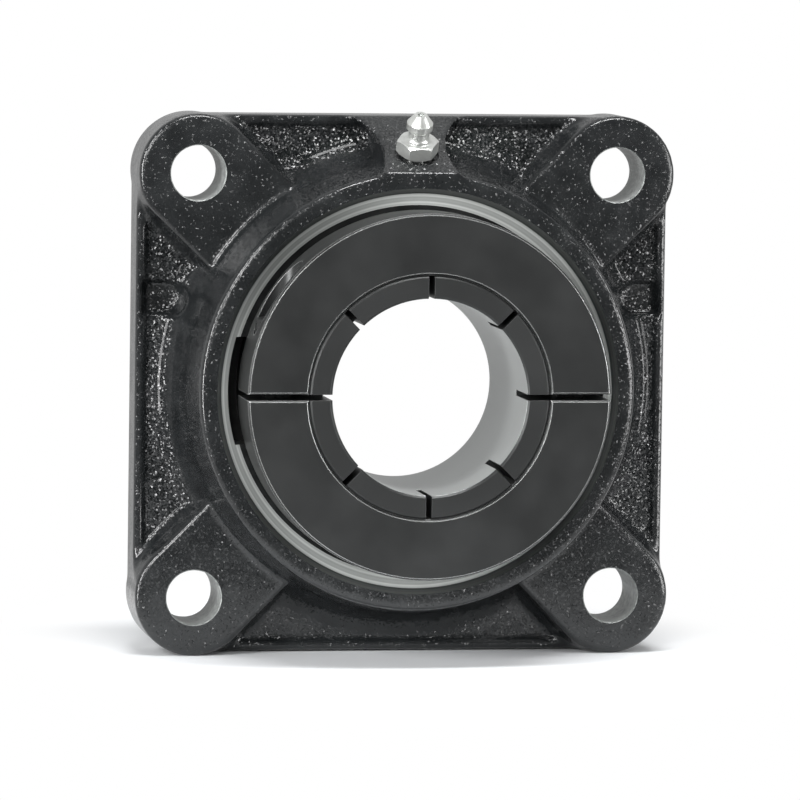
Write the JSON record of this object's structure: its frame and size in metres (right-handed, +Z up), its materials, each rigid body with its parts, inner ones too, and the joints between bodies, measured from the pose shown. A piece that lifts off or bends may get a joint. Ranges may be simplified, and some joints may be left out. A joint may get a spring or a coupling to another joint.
{
  "type": "four-bolt flange bearing",
  "caption": "Square cast flange bearing with a self-aligning ball insert, a slotted inner ring clamped by a split collar, and a leaning grease fitting.",
  "frame": {"origin": "centre of the bolt pattern in the mounting face, on the shaft axis", "axes": "+Y out of the mounting face along the shaft axis, +Z up towards the grease fitting, the front faces -Y"},
  "size_m": [0.1418, 0.0555, 0.1434],
  "materials": {
    "cast_paint": "gloss paint over cast iron",
    "bearing_steel": "polished",
    "ring_steel": "satin",
    "cage_plastic": "matt",
    "seal_rubber": "matt",
    "flinger_steel": "satin",
    "black_oxide": "satin",
    "screw_oxide": "satin",
    "zinc_steel": "bright zinc",
    "spring_steel": "bright"
  },
  "bodies": {
    "housing_body": {"housing": "cast_paint", "grease_fitting": "zinc_steel", "grease_check_spring": "spring_steel"},
    "insert": {"outer_ring": "flinger_steel", "front_seal": "seal_rubber", "rear_seal": "seal_rubber"},
    "shaft_set": {"inner_ring": "ring_steel", "front_flinger": "flinger_steel", "rear_flinger": "flinger_steel", "upper_collar_half": "black_oxide", "lower_collar_half": "black_oxide", "left_collar_screw": "screw_oxide", "right_collar_screw": "screw_oxide"},
    "ball_set": {"cage": "cage_plastic", "ball_01": "bearing_steel", "ball_02": "bearing_steel", "ball_03": "bearing_steel", "ball_04": "bearing_steel", "ball_05": "bearing_steel", "ball_06": "bearing_steel", "ball_07": "bearing_steel", "ball_08": "bearing_steel", "ball_09": "bearing_steel", "ball_10": "bearing_steel"},
    "check_ball": {"grease_check_ball": "bearing_steel"}
  },
  "joints": [
    {"name": "insert_align", "type": "hinge", "parent": "housing_body", "child": "insert", "pos_m": [0, -0.022, 0], "axis": [1, 0, 0], "range_deg": [-2, 2]},
    {"name": "shaft_spin", "type": "hinge", "parent": "insert", "child": "shaft_set", "pos_m": [0, -0.022, 0], "axis": [0, 1, 0], "continuous": true},
    {"name": "cage_orbit", "type": "hinge", "parent": "insert", "child": "ball_set", "pos_m": [0, -0.022, 0], "axis": [0, 1, 0], "continuous": true},
    {"name": "grease_check", "type": "slide", "parent": "housing_body", "child": "check_ball", "axis": [0, 0.4695, -0.8829], "range_m": [0, 0.0008], "stiffness_N_per_m": 150, "springref_m": -0.002, "deforming": ["grease_check_spring"]}
  ],
  "couplings": [
    {"joint": "cage_orbit", "follows": "shaft_spin", "ratio": 0.40929}
  ]
}
